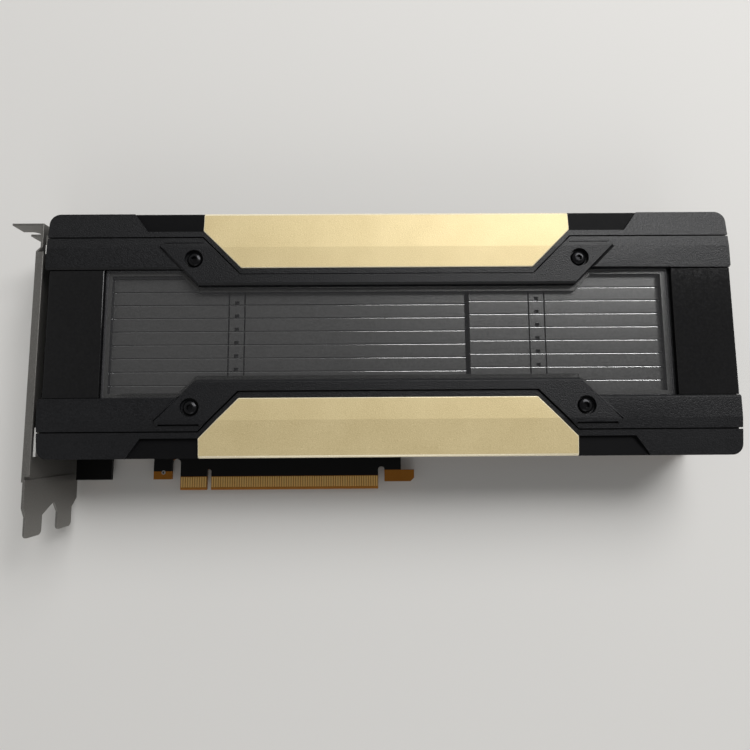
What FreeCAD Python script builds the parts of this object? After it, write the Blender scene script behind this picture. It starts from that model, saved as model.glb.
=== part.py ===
"""Passive accelerator card, dual slot, full height.

Millimetres. The origin is the centre of the edge connector's key notch, at the contacts' leading edge, in the
middle plane of the board. +X runs from the I/O bracket to the rear end, +Y from the contacts to the far edge,
+Z from the board's component side to the top of the shroud.
"""
import FreeCAD, Part
import Sketcher
import os
import re
from FreeCAD import Vector

doc = FreeCAD.newDocument("AcceleratorCard")
sheet = doc.addObject("Spreadsheet::Sheet", "Sizes")

SIZES = {
    # Envelope. The top of the shroud is symmetric about centre_x and centre_y.
    "centre_x": 75.8,
    "centre_y": 61.6,
    "shroud_front": -54.4,
    "rear_end": 207.83,
    "half_width": 47.05,
    "corner_radius": 4.0,
    "overcut": 1.0,
    # Circuit board and edge connector, with the standard's tongue, key notch and contact pitch.
    "board_thick": 1.57,
    "board_front": -56.5,
    "board_inset": 0.35,
    "tab_foot": 4.6,
    "tab_rear": -41.5,
    "second_tab_front": -23.6,
    "second_tab_rear": -15.9,
    "tab_slot_top": 13.2,
    "cutout_radius": 2.0,
    "tongue_front": -12.15,
    "tongue_rear": 72.15,
    "tongue_bevel": 0.45,
    "key_width": 1.9,
    "key_top": 8.7,
    "hook_slot_top": 9.4,
    "hook_front": 74.85,
    "hook_foot": 3.05,
    "hook_rear": 87.5,
    "hook_shoulder": 7.95,
    "hook_chamfer": 1.5,
    "neck_rear": 81.9,
    "contact_pitch": 1.0,
    "contact_width": 0.7,
    "contact_thick": 0.05,
    "contact_foot": 1.2,
    "contact_top": 5.5,
    "front_contact": -11.5,
    "front_contacts": 11,
    "rear_contact": 1.5,
    "rear_contacts": 71,
    # Processor package: substrate, stiffener frame, die and memory stacks.
    "package_x": 62.0,
    "package_size": 55.0,
    "package_thick": 1.8,
    "stiffener_width": 4.0,
    "stiffener_thick": 0.6,
    "die_length": 26.0,
    "die_width": 33.0,
    "die_thick": 0.8,
    "memory_length": 7.8,
    "memory_width": 11.8,
    "memory_gap": 0.5,
    "memory_pitch": 14.0,
    # Voltage regulator: chokes stand in slots of the base plate, power stages lie under it.
    "front_choke_x": 12.0,
    "rear_choke_x": 112.0,
    "choke_size": 7.0,
    "choke_height": 4.1,
    "choke_pitch": 8.2,
    "chokes_per_row": 8,
    "choke_slot_gap": 0.6,
    "stage_offset": 8.5,
    "stage_length": 5.0,
    "stage_width": 6.0,
    "stage_height": 0.9,
    # Auxiliary power connector and the capacitors beside it.
    "connector_edge": 19.25,
    "connector_width": 18.6,
    "connector_length": 14.0,
    "connector_height": 10.4,
    "connector_setback": 0.5,
    "cell_size": 3.4,
    "cell_pitch": 4.2,
    "cell_depth": 9.0,
    "pin_size": 1.0,
    "pin_setback": 1.5,
    "latch_width": 3.6,
    "latch_height": 1.2,
    "latch_length": 5.0,
    "capacitor_x": 188.3,
    "capacitor_size": 5.0,
    "capacitor_height": 7.0,
    "capacitor_pitch": 6.3,
    "capacitor_count": 3,
    # Base plate: a cast tray over the board.
    "base_front": -47.5,
    "base_gap": 2.415,
    "base_thick": 2.0,
    "skirt_width": 2.0,
    "window_gap": 1.0,
    "cutout_front": 184.6,
    "cutout_gap": 1.0,
    # Screw shanks, with the gaps round them.
    "shank_radius": 1.2,
    "shank_sides": 8,
    "thread_gap": 0.05,
    "clearance_gap": 0.15,
    # Back plate.
    "back_front": -46.0,
    "back_sheet": 1.0,
    "back_standoff": 1.6,
    "back_rim": 3.0,
    # Shroud frame.
    "wall_thick": 2.0,
    "duct_height": 24.4,
    "deck_thick": 1.8,
    "frame_rise": 2.8,
    "crease": 33.0,
    "slope_drop": 1.55,
    "ledge": 1.8,
    "recess_rise": 0.6,
    "recess_inner": 39.6,
    "recess_reach": 97.6,
    "recess_inner_reach": 92.1,
    "rib_mid": 22.65,
    "rib_end": 37.45,
    "rib_diagonal": 33.15,
    "extender_block_length": 10.0,
    "extender_inset": 4.05,
    "extender_block_width": 6.7,
    "extender_block_height": 8.0,
    "extender_thread_radius": 1.25,
    "extender_thread_depth": 7.0,
    # Clamp rails.
    "seam": 0.5,
    "rail_mid": 18.1,
    "rail_end": 24.65,
    "rail_diagonal": 53.8,
    "pad_rise": 0.8,
    "pad_tip": 33.0,
    "pad_edge": 34.9,
    "pad_nose": 0.9,
    "rail_screw_reach": 73.65,
    "rail_screw_y": 28.3,
    "counterbore_radius": 3.55,
    "counterbore_depth": 1.8,
    "rail_head_radius": 2.85,
    "rail_head_height": 1.5,
    "rail_shank_radius": 1.4,
    "rail_screw_bite": 1.6,
    "socket_size": 2.0,
    "socket_depth": 0.9,
    # Gold accent plates.
    "fit_gap": 0.15,
    "accent_mid": 24.8,
    "accent_diagonal": 30.9,
    "accent_end": 39.7,
    "accent_thick": 3.2,
    "accent_chamfer": 0.6,
    # Window and end panels.
    "window_front": -31.75,
    "window_rear": 183.6,
    "window_thick": 1.5,
    "panel_gap": 0.7,
    "rear_panel_gap": 1.6,
    "front_panel_inset": 1.2,
    "panel_thick": 1.8,
    # Vapour chamber and fins.
    "chamber_front": -31.0,
    "chamber_rear": 183.2,
    "chamber_half": 39.6,
    "chamber_thick": 3.0,
    "chamber_radius": 3.0,
    "seat_length": 46.0,
    "seat_width": 38.0,
    "fin_front": -30.2,
    "front_stack_rear": 105.8,
    "rear_stack_front": 107.7,
    "fin_rear": 182.2,
    "fin_pitch": 5.2,
    "fin_count": 15,
    "fin_sheet": 0.35,
    "fin_seam": 0.15,
    "fin_headroom": 0.6,
    "front_fin_shift": -1.2,
    "front_band": 14.6,
    "rear_band": 130.8,
    "band_width": 6.1,
    "tab_base": 2.6,
    "tab_overlap": 1.3,
    # I/O bracket, with the standard's length, slot pitch and prongs.
    "bracket_face": -58.01,
    "bracket_sheet": 0.86,
    "bracket_low": -2.4,
    "bracket_high": 33.4,
    "bracket_top": 105.9,
    "step_high": 30.8,
    "step_top": 96.4,
    "step_foot": 93.8,
    "jog_y": 6.4,
    "tongue_jog": 0.5,
    "bracket_length": 120.02,
    "shoulder_y": -3.0,
    "prong_root": -6.4,
    "valley_y": -2.7,
    "valley_root": -6.9,
    "valley_offset": 2.9,
    "valley_radius": 1.4,
    "prong_radius": 1.8,
    "prong_centre": 6.2,
    "prong_width": 10.19,
    "slot_pitch": 20.32,
    "flange_tip": -70.3,
    "notch_offset": 5.0,
    "notch_radius": 2.2,
    "notch_depth": 5.5,
    "lip_depth": 2.0,
    "lip_low": 8.4,
    "lip_high": 93.6,
    "tab_reach": 8.5,
    "tab_width": 10.0,
    "tab_low_y": 27.0,
    "tab_high_y": 93.0,
    "tab_screw_reach": 4.6,
    "tab_head_radius": 2.6,
    "tab_head_height": 1.4,
    "vent_first": 20.0,
    "vent_pitch": 5.2,
    "vent_count": 16,
    "vent_width": 3.6,
    "vent_height": 9.0,
    "vent_point": 1.2,
    "vent_low": 4.0,
    "vent_row_pitch": 11.4,
    "slot_low": 25.9,
    "slot_high": 28.7,
    "near_slot_end": 26.4,
    "near_slot_length": 10.9,
    "far_slot_end": 102.2,
    "far_slot_length": 7.8,
}

for row, (alias, value) in enumerate(SIZES.items(), start=1):
    sheet.set(f"A{row}", alias)
    sheet.set(f"B{row}", str(value))
    sheet.setAlias(f"B{row}", alias)
doc.recompute()

# Levels above the board's middle plane, each one piece's face on the next.
board_top = "(board_thick / 2)"
base_under = f"({board_top} + base_gap)"
base_top = f"({base_under} + base_thick)"
chamber_top = f"({base_top} + chamber_thick)"
die_top = f"({board_top} + package_thick + die_thick)"
deck_under = f"({base_top} + duct_height)"
seat_level = f"({deck_under} + deck_thick)"
frame_top = f"({seat_level} + frame_rise)"
pad_top = f"({frame_top} + pad_rise)"
fin_top = f"({deck_under} - fin_headroom)"
back_inner = f"(-{board_top} - back_standoff)"
back_outer = f"({back_inner} - back_sheet)"
board_low = "(centre_y - half_width + board_inset)"
board_high = "(centre_y + half_width - board_inset)"
rear_stack_low = "(centre_y - fin_count * fin_pitch / 2)"


def bound(text):
    """The same expression with every size's name pointed at its cell."""
    return re.sub(r"[a-z][a-z_]*", lambda word: ("Sizes." if word[0] in SIZES else "") + word[0], text)


def number(text):
    """The present value of an expression."""
    return float(sheet.evalExpression(bound(text)))


def new_body(name):
    """A body whose label is the sub-part's name. Patterns may leave it in several solids."""
    body = doc.addObject("PartDesign::Body", name)
    body.Label = name
    body.AllowCompound = True
    return body


def new_sketch(body, name, plane, level):
    """A sketch on one of the body's own planes, lifted to a level along the plane's normal."""
    sketch = body.newObject("Sketcher::SketchObject", name)
    support = [item for item in body.Origin.OriginFeatures if item.Role == plane][0]
    sketch.AttachmentSupport = [(support, "")]
    sketch.MapMode = "FlatFace"
    sketch.setExpression(".AttachmentOffset.Base.z", bound(level))
    return sketch


def place_point(sketch, curve, end, across, up):
    """Dimension one end of a curve from the sketch's origin."""
    for kind, text in (("DistanceX", across), ("DistanceY", up)):
        index = sketch.addConstraint(Sketcher.Constraint(kind, -1, 1, curve, end, number(text)))
        sketch.setExpression(f"Constraints[{index}]", bound(text))


def draw_loop(sketch, corners):
    """Straight lines through the corners, closed, each corner dimensioned."""
    points = [Vector(number(across), number(up), 0) for across, up in corners]
    first = sketch.GeometryCount
    for index, point in enumerate(points):
        sketch.addGeometry(Part.LineSegment(point, points[(index + 1) % len(points)]))
    for index in range(len(points)):
        following = first + (index + 1) % len(points)
        sketch.addConstraint(Sketcher.Constraint("Coincident", first + index, 2, following, 1))
    for index, (across, up) in enumerate(corners):
        place_point(sketch, first + index, 1, across, up)


def draw_circles(sketch, centres, radius):
    """Circles of one radius, each centre dimensioned."""
    for across, up in centres:
        centre = Vector(number(across), number(up), 0)
        curve = sketch.addGeometry(Part.Circle(centre, Vector(0, 0, 1), number(radius)))
        index = sketch.addConstraint(Sketcher.Constraint("Radius", curve, number(radius)))
        sketch.setExpression(f"Constraints[{index}]", bound(radius))
        place_point(sketch, curve, 3, across, up)


def extrude(body, name, sketch, length):
    """Pad a sketch along its plane's normal."""
    pad = body.newObject("PartDesign::Pad", name)
    pad.Profile = sketch
    pad.setExpression("Length", bound(length))
    return pad


def pad_plan(body, name, corners, bottom, top, plane="XY_Plane"):
    """Add a prism over a closed outline, from one level to another."""
    sketch = new_sketch(body, name + "_outline", plane, bottom)
    draw_loop(sketch, corners)
    return extrude(body, name, sketch, f"{top} - {bottom}")


def pad_discs(body, name, centres, radius, bottom, top):
    """Add upright cylinders."""
    sketch = new_sketch(body, name + "_circles", "XY_Plane", bottom)
    draw_circles(sketch, centres, radius)
    return extrude(body, name, sketch, f"{top} - {bottom}")


def pad_shanks(body, name, centres, radius, bottom, top):
    """Add a plain eight-sided shank at each centre. Its corners lie on the screw's radius."""
    for index, (across, up) in enumerate(centres):
        shank = body.newObject("PartDesign::AdditivePrism", f"{name}_{index}")
        shank.setExpression("Polygon", bound("shank_sides"))
        shank.setExpression("Circumradius", bound(radius))
        shank.setExpression("Height", bound(f"{top} - {bottom}"))
        shank.setExpression("Placement.Base.x", bound(across))
        shank.setExpression("Placement.Base.y", bound(up))
        shank.setExpression("Placement.Base.z", bound(bottom))


def cut(body, name, sketch, length):
    """Pocket a sketch against its plane's normal."""
    pocket = body.newObject("PartDesign::Pocket", name)
    pocket.Profile = sketch
    pocket.setExpression("Length", bound(length))
    return pocket


def cut_plan(body, name, corners, bottom, top, plane="XY_Plane"):
    """Cut a prism over a closed outline, down from one level to another."""
    sketch = new_sketch(body, name + "_outline", plane, top)
    draw_loop(sketch, corners)
    return cut(body, name, sketch, f"{top} - {bottom}")


def cut_discs(body, name, centres, radius, bottom, top, plane="XY_Plane"):
    """Cut round holes, down from one level to another."""
    sketch = new_sketch(body, name + "_circles", plane, top)
    draw_circles(sketch, centres, radius)
    return cut(body, name, sketch, f"{top} - {bottom}")


def repeat(body, name, originals, axis, spacing, count):
    """Repeat features along an axis of the body. The pattern becomes the body's tip."""
    pattern = body.newObject("PartDesign::LinearPattern", name)
    pattern.Originals = originals
    direction = [item for item in body.Origin.OriginFeatures if item.Role == axis][0]
    pattern.Direction = (direction, [""])
    pattern.Mode = "Spacing"
    pattern.setExpression("Offset", bound(spacing))
    pattern.setExpression("Occurrences", bound(count))
    body.Tip = pattern
    return pattern


def edges_through(feature, places):
    """Names of the straight edges whose middle lies at one of the places. None stands for any value."""
    wanted = [[None if text is None else number(text) for text in place] for place in places]
    names = []
    for index, edge in enumerate(feature.Shape.Edges, start=1):
        middle = edge.CenterOfMass
        for place in wanted:
            if all(at is None or abs(at - value) < 1e-4 for at, value in zip(place, middle)):
                names.append(f"Edge{index}")
                break
    return names


def round_edges(body, name, feature, places, radius):
    """Fillet edges picked by place."""
    doc.recompute()
    fillet = body.newObject("PartDesign::Fillet", name)
    fillet.Base = (feature, edges_through(feature, places))
    fillet.setExpression("Radius", bound(radius))
    return fillet


def chamfer_edges(body, name, feature, places, size):
    """Chamfer edges picked by place."""
    doc.recompute()
    chamfer = body.newObject("PartDesign::Chamfer", name)
    chamfer.Base = (feature, edges_through(feature, places))
    chamfer.setExpression("Size", bound(size))
    return chamfer


def rectangle(left, right, low, high):
    """The corners of a rectangle, counter-clockwise."""
    return [(left, low), (right, low), (right, high), (left, high)]


def four_about(across, up, reach_across, reach_up):
    """Four places, symmetric about a centre."""
    return [(f"{across} {sx} {reach_across}", f"{up} {sy} {reach_up}") for sx in "-+" for sy in "-+"]


def on_both_ends(points):
    """A symmetric outline from its rear half. Each point is a reach from centre_x and a Y expression."""
    rear = [(f"centre_x + ({reach})", up) for reach, up in points]
    front = [(f"centre_x - ({reach})", up) for reach, up in reversed(points)]
    return rear + front


rail_screws = four_about("centre_x", "centre_y", "rail_screw_reach", "rail_screw_y")
tab_screws = [
    ("bracket_face + tab_screw_reach", "tab_low_y"),
    ("bracket_face + tab_screw_reach", "tab_high_y"),
]


# ---- Circuit board: one sheet with tabs, tongue, key notch and retention hook along its lower edge.
body = new_body("pcb")
board = pad_plan(body, "board", [
    ("board_front", "tab_foot"),
    ("tab_rear", "tab_foot"),
    ("tab_rear", board_low),
    ("second_tab_front", board_low),
    ("second_tab_front", "tab_foot"),
    ("second_tab_rear", "tab_foot"),
    ("second_tab_rear", "tab_slot_top"),
    ("tongue_front", "tab_slot_top"),
    ("tongue_front", "0"),
    ("-key_width / 2", "0"),
    ("-key_width / 2", "key_top"),
    ("key_width / 2", "key_top"),
    ("key_width / 2", "0"),
    ("tongue_rear", "0"),
    ("tongue_rear", "hook_slot_top"),
    ("hook_front", "hook_slot_top"),
    ("hook_front", "hook_foot"),
    ("hook_rear", "hook_foot"),
    ("hook_rear", "hook_shoulder"),
    ("neck_rear", "hook_shoulder"),
    ("neck_rear", board_low),
    ("rear_end - board_inset", board_low),
    ("rear_end - board_inset", board_high),
    ("board_front", board_high),
], f"-{board_top}", board_top)
slots = round_edges(body, "slot_ends", board, [
    ("tab_rear", board_low, "0"),
    ("second_tab_front", board_low, "0"),
], "cutout_radius")
slots = round_edges(body, "narrow_slot_end", slots, [
    ("second_tab_rear", "tab_slot_top", "0"),
    ("tongue_front", "tab_slot_top", "0"),
], "(tongue_front - second_tab_rear) / 2 - seam / 10")
slots = round_edges(body, "hook_slot_end", slots, [
    ("tongue_rear", "hook_slot_top", "0"),
    ("hook_front", "hook_slot_top", "0"),
], "(hook_front - tongue_rear) / 2 - seam / 10")
slots = round_edges(body, "key_end", slots, [
    ("-key_width / 2", "key_top", "0"),
    ("key_width / 2", "key_top", "0"),
], "key_width / 2 - seam / 10")
bevel = chamfer_edges(body, "hook_corner", slots, [("hook_rear", "hook_foot", "0")], "hook_chamfer")
bevel = chamfer_edges(body, "leading_edge", bevel, [
    (None, "0", board_top),
    (None, "0", f"-{board_top}"),
], "tongue_bevel")
cut_discs(body, "screw_holes", tab_screws, "shank_radius + clearance_gap", f"-{board_top}", board_top)

# ---- Edge contacts: plated strips on both faces of the tongue.
body = new_body("edge_contacts")
for group, first, count in (
        ("front", "front_contact", "front_contacts"),
        ("rear", "rear_contact", "rear_contacts")):
    for face, bottom, top in (("top", board_top, f"({board_top} + contact_thick)"),
                              ("back", f"(-{board_top} - contact_thick)", f"(-{board_top})")):
        strip = pad_plan(body, f"{group}_{face}_contact", rectangle(
            f"{first} - contact_width / 2", f"{first} + contact_width / 2", "contact_foot", "contact_top"),
            bottom, top)
        repeat(body, f"{group}_{face}_row", [strip], "X_Axis", "contact_pitch", count)

# ---- Processor package: substrate on the board, with the stiffener frame, die and memory on it.
package = ["package_x - package_size / 2", "package_x + package_size / 2",
           "centre_y - package_size / 2", "centre_y + package_size / 2"]
package_top = f"({board_top} + package_thick)"
body = new_body("package_substrate")
pad_plan(body, "substrate", rectangle(*package), board_top, package_top)

body = new_body("package_frame")
pad_plan(body, "stiffener", rectangle(*package), package_top, f"({package_top} + stiffener_thick)")
cut_plan(body, "stiffener_window", rectangle(
    package[0] + " + stiffener_width", package[1] + " - stiffener_width",
    package[2] + " + stiffener_width", package[3] + " - stiffener_width"),
    package_top, f"({package_top} + stiffener_thick)")

body = new_body("processor_die")
pad_plan(body, "die", rectangle(
    "package_x - die_length / 2", "package_x + die_length / 2",
    "centre_y - die_width / 2", "centre_y + die_width / 2"), package_top, die_top)

body = new_body("memory_stacks")
memory_reach = "(die_length / 2 + memory_gap)"
for end, near, far in (
        ("front", f"package_x - {memory_reach} - memory_length", f"package_x - {memory_reach}"),
        ("rear", f"package_x + {memory_reach}", f"package_x + {memory_reach} + memory_length")):
    stack = pad_plan(body, f"{end}_memory", rectangle(
        near, far,
        "centre_y - (memory_pitch + memory_width) / 2", "centre_y - (memory_pitch - memory_width) / 2"),
        package_top, die_top)
    repeat(body, f"{end}_memories", [stack], "Y_Axis", "memory_pitch", "2")

# ---- Voltage regulator: a row of chokes at each end of the package, power stages beside each row.
row_low = "(centre_y - chokes_per_row * choke_pitch / 2)"
row_high = "(centre_y + chokes_per_row * choke_pitch / 2)"
rows = (("front", "front_choke_x", "(front_choke_x + stage_offset)"),
        ("rear", "rear_choke_x", "(rear_choke_x - stage_offset)"))
stage_top = f"({board_top} + stage_height)"
body = new_body("chokes")
for end, choke_x, stage_x in rows:
    choke = pad_plan(body, f"{end}_choke", rectangle(
        f"{choke_x} - choke_size / 2", f"{choke_x} + choke_size / 2",
        f"{row_low} + (choke_pitch - choke_size) / 2", f"{row_low} + (choke_pitch + choke_size) / 2"),
        board_top, f"({board_top} + choke_height)")
    repeat(body, f"{end}_choke_row", [choke], "Y_Axis", "choke_pitch", "chokes_per_row")

body = new_body("power_stages")
for end, choke_x, stage_x in rows:
    stage = pad_plan(body, f"{end}_stage", rectangle(
        f"{stage_x} - stage_length / 2", f"{stage_x} + stage_length / 2",
        f"{row_low} + (choke_pitch - stage_width) / 2", f"{row_low} + (choke_pitch + stage_width) / 2"),
        board_top, stage_top)
    repeat(body, f"{end}_stage_row", [stage], "Y_Axis", "choke_pitch", "chokes_per_row")

body = new_body("thermal_pads")
for end, choke_x, stage_x in rows:
    pad_plan(body, f"{end}_pad", rectangle(
        f"{stage_x} - stage_length / 2", f"{stage_x} + stage_length / 2", row_low, row_high),
        stage_top, base_under)

# ---- Auxiliary power connector: two rows of four square cells, open towards the rear end, a pin in each.
mouth = "(rear_end - connector_setback)"
connector_y = "(centre_y + half_width - connector_edge)"
cell_low = f"({connector_y} - 3 * cell_pitch / 2)"
body = new_body("power_connector")
pad_plan(body, "housing", rectangle(
    f"{mouth} - connector_length", mouth,
    f"{connector_y} - connector_width / 2", f"{connector_y} + connector_width / 2"),
    board_top, f"({board_top} + connector_height)")
pad_plan(body, "latch_ramp", rectangle(
    f"{mouth} - latch_length", mouth, f"{connector_y} - latch_width / 2", f"{connector_y} + latch_width / 2"),
    f"({board_top} + connector_height)", f"({board_top} + connector_height + latch_height)")
cell_levels = [f"({board_top} + connector_height / 2 {sign} cell_pitch / 2)" for sign in "-+"]
for tier, level in zip(("lower", "upper"), cell_levels):
    cell = cut_plan(body, f"{tier}_cell", rectangle(
        f"{cell_low} - cell_size / 2", f"{cell_low} + cell_size / 2",
        f"{level} - cell_size / 2", f"{level} + cell_size / 2"), f"({mouth} - cell_depth)", mouth, "YZ_Plane")
    repeat(body, f"{tier}_cells", [cell], "Y_Axis", "cell_pitch", "4")

body = new_body("power_pins")
for tier, level in zip(("lower", "upper"), cell_levels):
    pin = pad_plan(body, f"{tier}_pin", rectangle(
        f"{cell_low} - pin_size / 2", f"{cell_low} + pin_size / 2",
        f"{level} - pin_size / 2", f"{level} + pin_size / 2"),
        f"({mouth} - cell_depth)", f"({mouth} - pin_setback)", "YZ_Plane")
    repeat(body, f"{tier}_pins", [pin], "Y_Axis", "cell_pitch", "4")

body = new_body("capacitors")
first_block = f"({connector_y} - (capacitor_count - 1) * capacitor_pitch / 2)"
block = pad_plan(body, "block", rectangle(
    "capacitor_x - capacitor_size / 2", "capacitor_x + capacitor_size / 2",
    f"{first_block} - capacitor_size / 2", f"{first_block} + capacitor_size / 2"),
    board_top, f"({board_top} + capacitor_height)")
repeat(body, "block_row", [block], "Y_Axis", "capacitor_pitch", "capacitor_count")

# ---- Base plate: a cast tray. Its skirt stands on the board, and slots let the chokes through.
body = new_body("base_plate")
plate = pad_plan(body, "tray", rectangle(
    "base_front", "rear_end", "centre_y - half_width", "centre_y + half_width"), board_top, base_top)
round_edges(body, "tray_corners", plate, [
    ("rear_end", "centre_y - half_width", None),
    ("rear_end", "centre_y + half_width", None)], "corner_radius")
cut_plan(body, "hollow", rectangle(
    "base_front + skirt_width", "rear_end - skirt_width",
    "centre_y - half_width + skirt_width", "centre_y + half_width - skirt_width"), board_top, base_under)
cut_plan(body, "package_window", rectangle(
    package[0] + " - window_gap", package[1] + " + window_gap",
    package[2] + " - window_gap", package[3] + " + window_gap"), board_top, base_top)
for end, choke_x, stage_x in rows:
    cut_plan(body, f"{end}_choke_slot", rectangle(
        f"{choke_x} - choke_size / 2 - choke_slot_gap", f"{choke_x} + choke_size / 2 + choke_slot_gap",
        f"{row_low} - choke_slot_gap", f"{row_high} + choke_slot_gap"), board_top, base_top)
cut_plan(body, "connector_cutout", rectangle(
    "cutout_front", "rear_end + overcut",
    f"{connector_y} - connector_width / 2 - cutout_gap", f"{connector_y} + connector_width / 2 + cutout_gap"),
    board_top, base_top)

# ---- Vapour chamber: flat slab with a raised seat on the die.
body = new_body("vapour_chamber")
slab = pad_plan(body, "slab", rectangle(
    "chamber_front", "chamber_rear", "centre_y - chamber_half", "centre_y + chamber_half"),
    base_top, chamber_top)
round_edges(body, "slab_corners", slab, [
    ("chamber_front", None, f"{base_top} + chamber_thick / 2"),
    ("chamber_rear", None, f"{base_top} + chamber_thick / 2")], "chamber_radius")
pad_plan(body, "die_seat", rectangle(
    "package_x - seat_length / 2", "package_x + seat_length / 2",
    "centre_y - seat_width / 2", "centre_y + seat_width / 2"), die_top, base_top)


def build_fins(name, front, rear, band, shift):
    """One stack of channel-shaped fins. Each fin's triangular tab laps over the next fin's top fold."""
    body = new_body(name)
    low = f"({rear_stack_low} + {shift})"
    far = f"({low} + fin_pitch - fin_seam)"
    fin = pad_plan(body, "fin", [
        (low, chamber_top),
        (far, chamber_top),
        (far, f"{chamber_top} + fin_sheet"),
        (f"{low} + fin_sheet", f"{chamber_top} + fin_sheet"),
        (f"{low} + fin_sheet", f"{fin_top} - fin_sheet"),
        (far, f"{fin_top} - fin_sheet"),
        (far, fin_top),
        (low, fin_top),
    ], front, rear, "YZ_Plane")
    middle = f"({band} + band_width / 2)"
    tab = pad_plan(body, "tab", [
        (f"{middle} - tab_base / 2", f"{far} - tab_overlap"),
        (f"{middle} + tab_base / 2", f"{far} - tab_overlap"),
        (middle, f"{far} + tab_overlap"),
    ], fin_top, f"({fin_top} + fin_sheet)")
    repeat(body, "fins", [fin, tab], "Y_Axis", "fin_pitch", "fin_count")


build_fins("fin_stack_front", "fin_front", "front_stack_rear", "front_band", "front_fin_shift")
build_fins("fin_stack_rear", "rear_stack_front", "fin_rear", "rear_band", "0")

# ---- Shroud frame: cast inverted channel. Ribs stand round the accent plates.
# The deck carries the rails and the window.
edge_low = "(centre_y - half_width)"
edge_high = "(centre_y + half_width)"
body = new_body("shroud_frame")
block = pad_plan(body, "block", [
    (edge_low, base_top),
    (edge_high, base_top),
    (edge_high, f"{frame_top} - slope_drop"),
    ("centre_y + crease", frame_top),
    ("centre_y - crease", frame_top),
    (edge_low, f"{frame_top} - slope_drop"),
], "shroud_front", "rear_end", "YZ_Plane")
side_middle = f"({base_top} + {frame_top} - slope_drop) / 2"
round_edges(body, "shroud_corners", block, [
    ("shroud_front", edge_low, side_middle),
    ("shroud_front", edge_high, side_middle),
    ("rear_end", edge_low, side_middle),
    ("rear_end", edge_high, side_middle)], "corner_radius")
cut_plan(body, "duct", rectangle(
    f"{edge_low} + wall_thick", f"{edge_high} - wall_thick", f"{base_top} - overcut", deck_under),
    "(shroud_front - overcut)", "(rear_end + overcut)", "YZ_Plane")
centre_channel = [
    ("rear_end + overcut", "centre_y + rib_end"),
    ("centre_x + rib_diagonal + rib_end", "centre_y + rib_end"),
    ("centre_x + rib_diagonal + rib_mid", "centre_y + rib_mid"),
    ("centre_x - rib_diagonal - rib_mid", "centre_y + rib_mid"),
    ("centre_x - rib_diagonal - rib_end", "centre_y + rib_end"),
    ("shroud_front - overcut", "centre_y + rib_end"),
]
centre_channel += [
    (across, up.replace("centre_y +", "centre_y -")) for across, up in reversed(centre_channel)]
cut_plan(body, "centre_channel", centre_channel, seat_level, frame_top)
accent_reach = "(accent_diagonal + accent_end)"
for side, sign in (("upper", "+"), ("lower", "-")):
    outside = f"centre_y {sign} (half_width + overcut)"
    cut_plan(body, f"{side}_accent_pocket", on_both_ends([
        ("accent_diagonal + accent_mid + fit_gap / 2", f"centre_y {sign} (accent_mid - fit_gap)"),
        (f"{accent_reach} + fit_gap", f"centre_y {sign} (accent_end - fit_gap / 2)"),
        (f"{accent_reach} + fit_gap", outside),
    ]), seat_level, frame_top)
    for end, toward in (("front", "-"), ("rear", "+")):
        cut_plan(body, f"{side}_{end}_recess", [
            (f"centre_x {toward} {accent_reach}", f"centre_y {sign} recess_inner"),
            (f"centre_x {toward} recess_inner_reach", f"centre_y {sign} recess_inner"),
            (f"centre_x {toward} recess_reach", f"centre_y {sign} half_width"),
            (f"centre_x {toward} recess_reach", outside),
            (f"centre_x {toward} {accent_reach}", outside),
        ], f"({seat_level} + recess_rise)", frame_top)
opening = []
for sign, order in (("+", 1), ("-", -1)):
    half = [
        ("window_rear - ledge", f"centre_y {sign} (rail_end - fit_gap - ledge)"),
        ("centre_x + rail_diagonal + ledge * sqrt(2) + rail_end - fit_gap - ledge",
         f"centre_y {sign} (rail_end - fit_gap - ledge)"),
        ("centre_x + rail_diagonal + ledge * sqrt(2) + rail_mid - fit_gap - ledge",
         f"centre_y {sign} (rail_mid - fit_gap - ledge)"),
        ("centre_x - rail_diagonal - ledge * sqrt(2) - rail_mid + fit_gap + ledge",
         f"centre_y {sign} (rail_mid - fit_gap - ledge)"),
        ("centre_x - rail_diagonal - ledge * sqrt(2) - rail_end + fit_gap + ledge",
         f"centre_y {sign} (rail_end - fit_gap - ledge)"),
        ("window_front + ledge", f"centre_y {sign} (rail_end - fit_gap - ledge)"),
    ]
    opening += half[::order]
cut_plan(body, "window_opening", opening, deck_under, seat_level)
for side, near, far in (("lower", f"{edge_low} + wall_thick / 2",
                         f"{edge_low} + wall_thick + extender_block_width"),
                        ("upper", f"{edge_high} - wall_thick - extender_block_width",
                         f"{edge_high} - wall_thick / 2")):
    pad_plan(body, f"{side}_extender_block", rectangle(
        "rear_end - extender_block_length", "rear_end - corner_radius / 3", near, far),
        f"({deck_under} - extender_block_height)", f"({deck_under} + deck_thick / 2)")
cut_discs(body, "rail_screw_threads", rail_screws, "rail_shank_radius + thread_gap", deck_under, seat_level)
cut_discs(body, "extender_threads", [
    ("centre_y - half_width + extender_inset", f"{deck_under} - extender_block_height / 2"),
    ("centre_y + half_width - extender_inset", f"{deck_under} - extender_block_height / 2")],
    "extender_thread_radius", "(rear_end - extender_thread_depth)", "(rear_end + overcut)", "YZ_Plane")


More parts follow.
